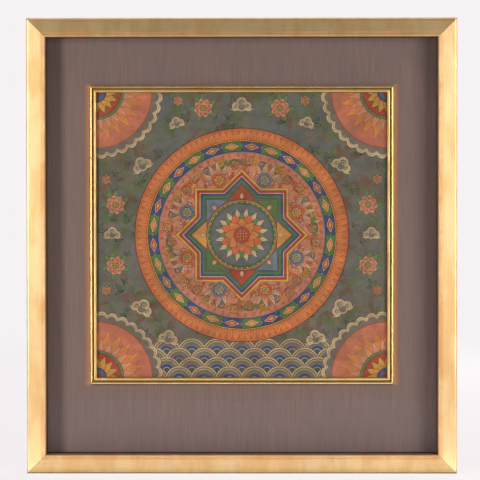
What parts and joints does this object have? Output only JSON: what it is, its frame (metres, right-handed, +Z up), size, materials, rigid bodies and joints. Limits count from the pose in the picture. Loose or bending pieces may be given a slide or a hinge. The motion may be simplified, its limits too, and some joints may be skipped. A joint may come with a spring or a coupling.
{
  "type": "thangka painting in a glazed gilt frame",
  "caption": "Painted cotton cloth stretched flat on a fabric-covered board inside a narrow gilt slip, glazed, in a deep gilt wooden frame that stands on its bottom edge.",
  "frame": {"origin": "centre of the bottom edge that the frame stands on", "axes": "+Z up along the height, -Y towards the viewer, +X to the viewer's right"},
  "size_m": [0.645, 0.045, 0.683],
  "materials": {
    "gilding": "gold leaf over red bole on wood, rubbed at the edges",
    "slip_gilding": "burnished gold leaf on wood",
    "spacer_wood": "dark stained, matt",
    "mount_fabric": "fine plain silk weave, grey mauve",
    "board": "plain brown hardboard",
    "glass": "clear, polished",
    "painted_cloth": "aged mineral pigments on sized cotton, matt"
  },
  "bodies": {
    "root": {"rail_bottom": "gilding", "rail_right": "gilding", "rail_top": "gilding", "rail_left": "gilding", "spacer_bottom": "spacer_wood", "spacer_right": "spacer_wood", "spacer_top": "spacer_wood", "spacer_left": "spacer_wood", "slip_bottom": "slip_gilding", "slip_right": "slip_gilding", "slip_top": "slip_gilding", "slip_left": "slip_gilding", "mount_board": "board", "mount_fabric": "mount_fabric", "glazing": "glass", "painted_cloth": "painted_cloth"}
  },
  "joints": []
}
